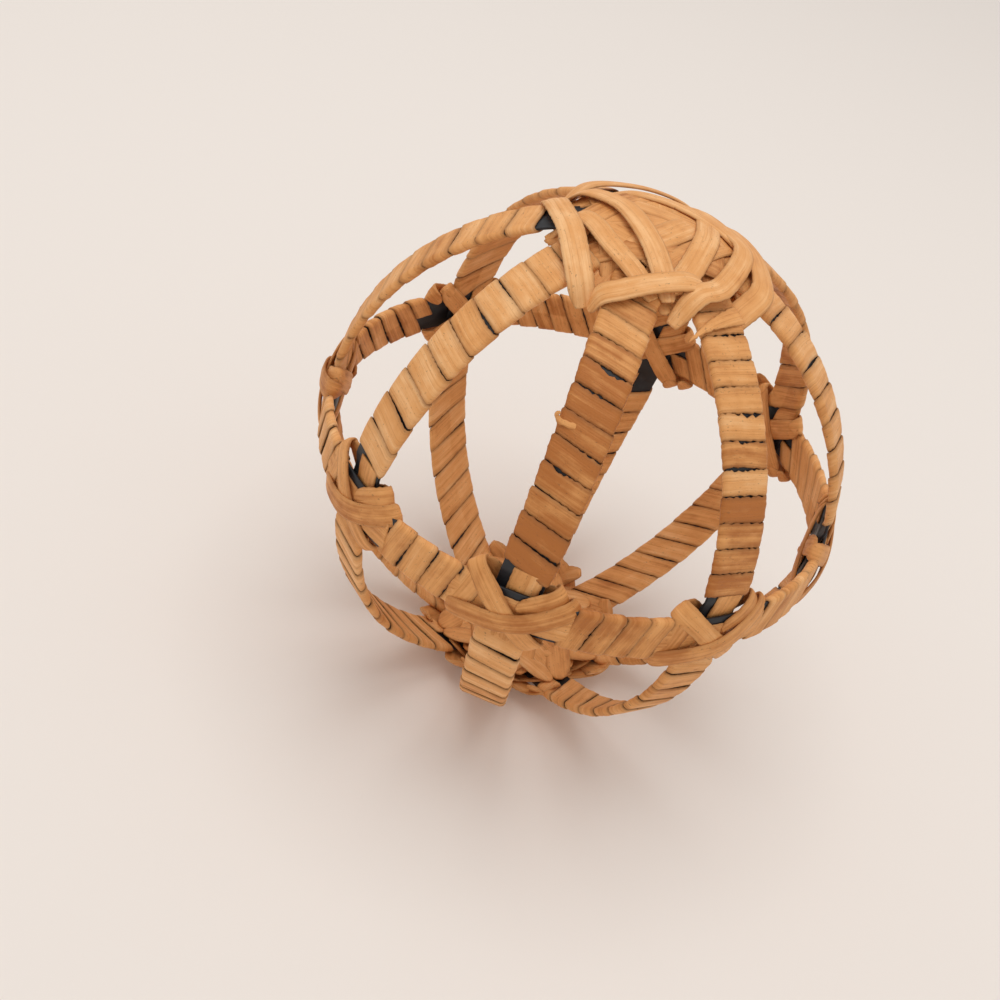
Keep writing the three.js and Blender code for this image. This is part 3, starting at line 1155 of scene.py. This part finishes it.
def cane_material(context):
    """Flat cane: honey coloured, with grain along the strip, specks, and painted shade along the strip edges.
    """
    material, nodes = new_material("wound_cane")
    if nodes is None:
        return material
    colours = context.scene.cane_ball_colours
    where = nodes.value(nodes.add("ShaderNodeAttribute", {"attribute_name": "strip"}), 1)
    tone = nodes.value(nodes.add("ShaderNodeAttribute", {"attribute_name": "tone"}), 2)
    worn = nodes.value(nodes.add("ShaderNodeAttribute", {"attribute_name": "worn"}), 2)
    place = nodes.value(nodes.add("ShaderNodeTexCoord"), 3)

    def along_grain(length_rate, cross_rate, detail, roughness=0.55):
        stretched = nodes.value(
            nodes.add(
                "ShaderNodeVectorMath", {"operation": "MULTIPLY"},
                _0=where, _1=(length_rate, cross_rate, 7.31),
            )
        )
        noise = nodes.add(
            "ShaderNodeTexNoise", {"noise_dimensions": "3D"},
            Vector=stretched, Scale=1.0, Detail=detail, Roughness=roughness,
        )
        return nodes.value(noise)

    fibre = along_grain(0.05, 3.3, 3.0, 0.6)
    streak = along_grain(0.04, 1.0, 3.0)
    mottle = along_grain(0.20, 0.30, 4.0)
    fleck = along_grain(1.1, 1.9, 3.0, 0.65)
    grit = along_grain(2.2, 3.6, 3.0, 0.7)
    patch = nodes.value(nodes.add("ShaderNodeTexNoise", Vector=place, Scale=70.0, Detail=3.0))

    shade = tone + (streak - 0.5) * 0.9 + (mottle - 0.5) * 0.8 + (patch - 0.5) * 0.6
    body = mixed(nodes, shade.between(-0.05, 0.55), colours.brown, colours.honey)
    body = mixed(nodes, shade.between(0.45, 1.05), body, colours.pale)
    lines = fibre.between(0.52, 0.70) * 0.38
    body = mixed(nodes, lines, body, colours.brown)
    specks = fleck.between(0.61, 0.70) * patch.between(0.36, 0.56)
    # Specks, and painted shade darkening the edges of every strip where the turns meet.
    body = mixed(nodes, (specks * 0.45 + worn).clamped(), body, colours.speck_and_shade)
    height = fibre * 0.5 + streak * 0.35 + grit * 0.3
    bump = nodes.value(nodes.add("ShaderNodeBump", Strength=0.8, Distance=0.0004, Height=height))
    roughness = (0.42 + 0.3 * fibre + 0.25 * worn).clamped()
    shader = material.node_tree.nodes["Principled BSDF"]
    links = material.node_tree.links
    shader.inputs["Specular IOR Level"].default_value = 0.4
    links.new(body.socket, shader.inputs["Base Color"])
    links.new(roughness.socket, shader.inputs["Roughness"])
    links.new(bump.socket, shader.inputs["Normal"])
    return material


def black_strip_material(context):
    """Satin black strip with fine lines along it and a little dust."""
    material, nodes = new_material("satin_strip")
    if nodes is None:
        return material
    colours = context.scene.cane_ball_colours
    where = nodes.value(nodes.add("ShaderNodeAttribute", {"attribute_name": "strip"}), 1)
    stretched = nodes.value(
        nodes.add("ShaderNodeVectorMath", {"operation": "MULTIPLY"}, _0=where, _1=(0.15, 4.0, 1.0))
    )
    lines = nodes.value(nodes.add("ShaderNodeTexNoise", Vector=stretched, Scale=1.0, Detail=3.0))
    dust = nodes.value(nodes.add("ShaderNodeTexNoise", Vector=where, Scale=0.35, Detail=4.0))
    body = mixed(nodes, dust.between(0.5, 0.8) * 0.5, colours.black, (0.05, 0.055, 0.065))
    bump = nodes.value(nodes.add("ShaderNodeBump", Strength=0.3, Distance=0.0001, Height=lines))
    roughness = (0.34 + 0.3 * dust).clamped()
    shader = material.node_tree.nodes["Principled BSDF"]
    links = material.node_tree.links
    links.new(body.socket, shader.inputs["Base Color"])
    links.new(roughness.socket, shader.inputs["Roughness"])
    links.new(bump.socket, shader.inputs["Normal"])
    return material


# --------------------------------------------------------------------- stage


# The stage, in metres: the floor's half width, the soft light and the camera, with
# the camera's directions to its right and backwards.
FLOOR_REACH = 6.0
LAMP_PLACE = (-0.05, 0.05, 1.1)
LAMP_AIM = (0.0, 0.0, 0.06)
LAMP_SIZE = 0.9
LIGHT_COLOUR = (1.0, 0.98, 0.96)
CAMERA_PLACE = (0.0, -0.28186, 0.26691)
CAMERA_RIGHT = (0.94, 0.2406, 0.2418)
CAMERA_BACK = (0.041, -0.7835, 0.6201)


class CANEBALL_OT_stage(Operator):
    """Sets the pale floor, the soft lights and the camera"""

    bl_idname = "cane_ball.stage"
    bl_label = "Floor, lights and camera"

    def execute(self, context):
        stage = context.scene.cane_ball_stage
        self.add_floor(context, stage)
        self.add_lights(context, stage)
        self.add_camera(context, stage)
        return {"FINISHED"}

    def add_floor(self, context, stage):
        mesh = bpy.data.meshes.new("floor")
        reach = FLOOR_REACH
        corners = [(-reach, -reach, 0), (reach, -reach, 0), (reach, reach, 0), (-reach, reach, 0)]
        mesh.from_pydata(corners, [], [(0, 1, 2, 3)])
        floor = bpy.data.objects.new("floor", mesh)
        context.scene.collection.objects.link(floor)
        material, nodes = new_material("pale_floor")
        shader = material.node_tree.nodes["Principled BSDF"]
        shader.inputs["Base Color"].default_value = (*stage.floor, 1.0)
        shader.inputs["Roughness"].default_value = 0.85
        mesh.materials.append(material)

    def add_lights(self, context, stage):
        world = context.scene.world or bpy.data.worlds.new("studio")
        context.scene.world = world
        world.use_nodes = True
        background = world.node_tree.nodes["Background"]
        background.inputs["Color"].default_value = (*LIGHT_COLOUR, 1.0)
        background.inputs["Strength"].default_value = stage.fill
        light = bpy.data.lights.new("soft_light", "AREA")
        light.shape = "DISK"
        light.size = LAMP_SIZE
        light.energy = stage.key
        light.color = LIGHT_COLOUR
        lamp = bpy.data.objects.new("soft_light", light)
        lamp.location = LAMP_PLACE
        toward = Vector(LAMP_AIM) - lamp.location
        lamp.rotation_euler = toward.to_track_quat("-Z", "Y").to_euler()
        context.scene.collection.objects.link(lamp)

    def add_camera(self, context, stage):
        right = Vector(CAMERA_RIGHT).normalized()
        back = Vector(CAMERA_BACK).normalized()
        above = back.cross(right).normalized()
        camera = bpy.data.cameras.new("camera")
        camera.lens = stage.lens
        camera.sensor_width = 36.0
        camera.clip_start = 0.01
        holder = bpy.data.objects.new("camera", camera)
        turn = Matrix((right, above, back)).transposed().to_4x4()
        holder.matrix_world = Matrix.Translation(CAMERA_PLACE) @ turn
        context.scene.collection.objects.link(holder)
        context.scene.camera = holder
        context.scene.view_settings.view_transform = "Standard"


class CANEBALL_PT_panel(Panel):
    """Lists the ball's sizes, colours and pieces"""

    bl_idname = "CANEBALL_PT_panel"
    bl_label = "Wound Cane Ball"
    bl_space_type = "VIEW_3D"
    bl_region_type = "UI"
    bl_category = "Cane Ball"

    def draw(self, context):
        layout = self.layout
        for name in ("cane_ball_sizes", "cane_ball_colours", "cane_ball_stage"):
            settings = getattr(context.scene, name)
            for key in settings.__annotations__:
                layout.prop(settings, key)
        for operator in OPERATORS:
            layout.operator(operator.bl_idname)


OPERATORS = (
    CANEBALL_OT_hoops,
    CANEBALL_OT_upper_windings,
    CANEBALL_OT_lower_windings,
    CANEBALL_OT_level_windings,
    CANEBALL_OT_lashings,
    CANEBALL_OT_top_star,
    CANEBALL_OT_bottom_star,
    CANEBALL_OT_stage,
)
GROUPS = {
    "cane_ball_sizes": CaneBallSizes,
    "cane_ball_colours": CaneBallColours,
    "cane_ball_stage": CaneBallStage,
}


def register():
    for name, group in GROUPS.items():
        bpy.utils.register_class(group)
        setattr(bpy.types.Scene, name, PointerProperty(type=group))
    for thing in (*OPERATORS, CANEBALL_PT_panel):
        bpy.utils.register_class(thing)


def unregister():
    for thing in reversed((*OPERATORS, CANEBALL_PT_panel)):
        bpy.utils.unregister_class(thing)
    for name, group in GROUPS.items():
        delattr(bpy.types.Scene, name)
        bpy.utils.unregister_class(group)


def main():
    register()
    for operator in OPERATORS:
        group, name = operator.bl_idname.split(".")
        getattr(getattr(bpy.ops, group), name)()


if __name__ == "__main__":
    main()
